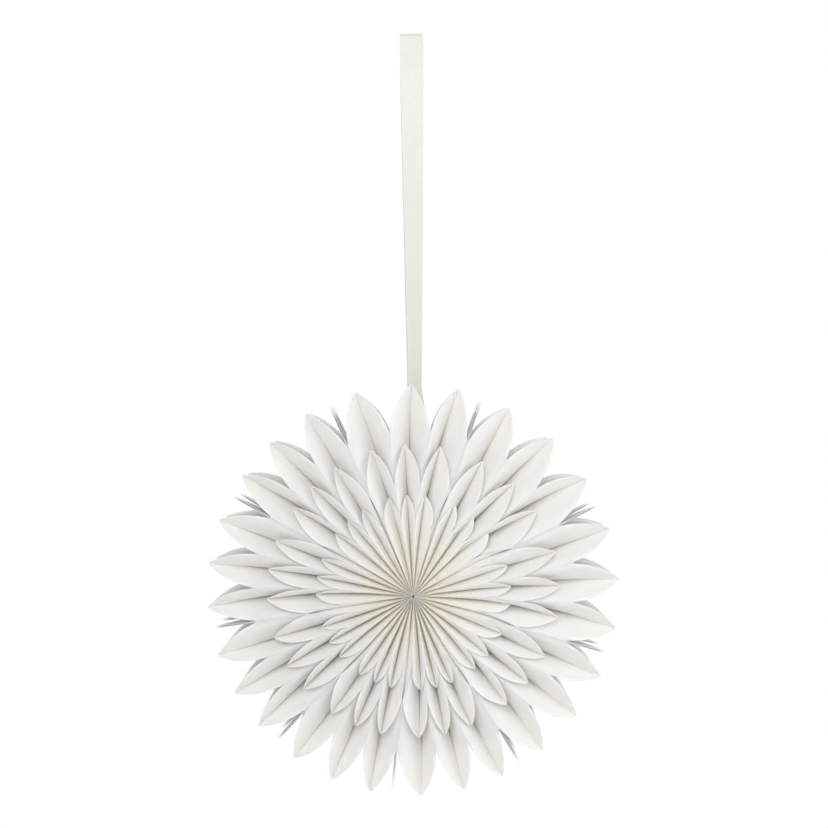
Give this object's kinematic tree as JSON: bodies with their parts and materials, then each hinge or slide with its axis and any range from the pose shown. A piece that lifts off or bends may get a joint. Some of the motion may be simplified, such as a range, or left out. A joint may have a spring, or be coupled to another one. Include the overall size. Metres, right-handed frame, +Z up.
{
  "type": "paper advent star",
  "caption": "Hanging star of folded white paper: three tiers of pointed, creased petals around one centre, front and back, on a flat cloth ribbon loop.",
  "frame": {"origin": "top of the ribbon's loop, where it hangs from a hook or nail", "axes": "+Z up, -Y out of the star's front, +X to the right as seen from the front; the star's own axis runs along Y"},
  "size_m": [0.2994, 0.132, 0.56],
  "materials": {
    "paper": "matt uncoated white paper",
    "ribbon": "off-white woven cotton tape"
  },
  "bodies": {
    "root": {"petal_01": "paper", "petal_02": "paper", "petal_03": "paper", "petal_04": "paper", "petal_05": "paper", "petal_06": "paper", "petal_07": "paper", "petal_08": "paper", "petal_09": "paper", "petal_10": "paper", "petal_11": "paper", "petal_12": "paper", "petal_13": "paper", "petal_14": "paper", "petal_15": "paper", "petal_16": "paper", "petal_17": "paper", "petal_18": "paper", "petal_19": "paper", "petal_20": "paper", "petal_21": "paper", "petal_22": "paper", "petal_23": "paper", "petal_24": "paper", "petal_25": "paper", "petal_26": "paper", "petal_27": "paper", "end_leaves_01": "paper", "end_leaves_02": "paper", "end_leaves_03": "paper", "end_leaves_04": "paper", "end_leaves_05": "paper", "end_leaves_06": "paper", "end_leaves_07": "paper", "end_leaves_08": "paper", "end_leaves_09": "paper", "hanging_ribbon": "ribbon"}
  },
  "joints": []
}
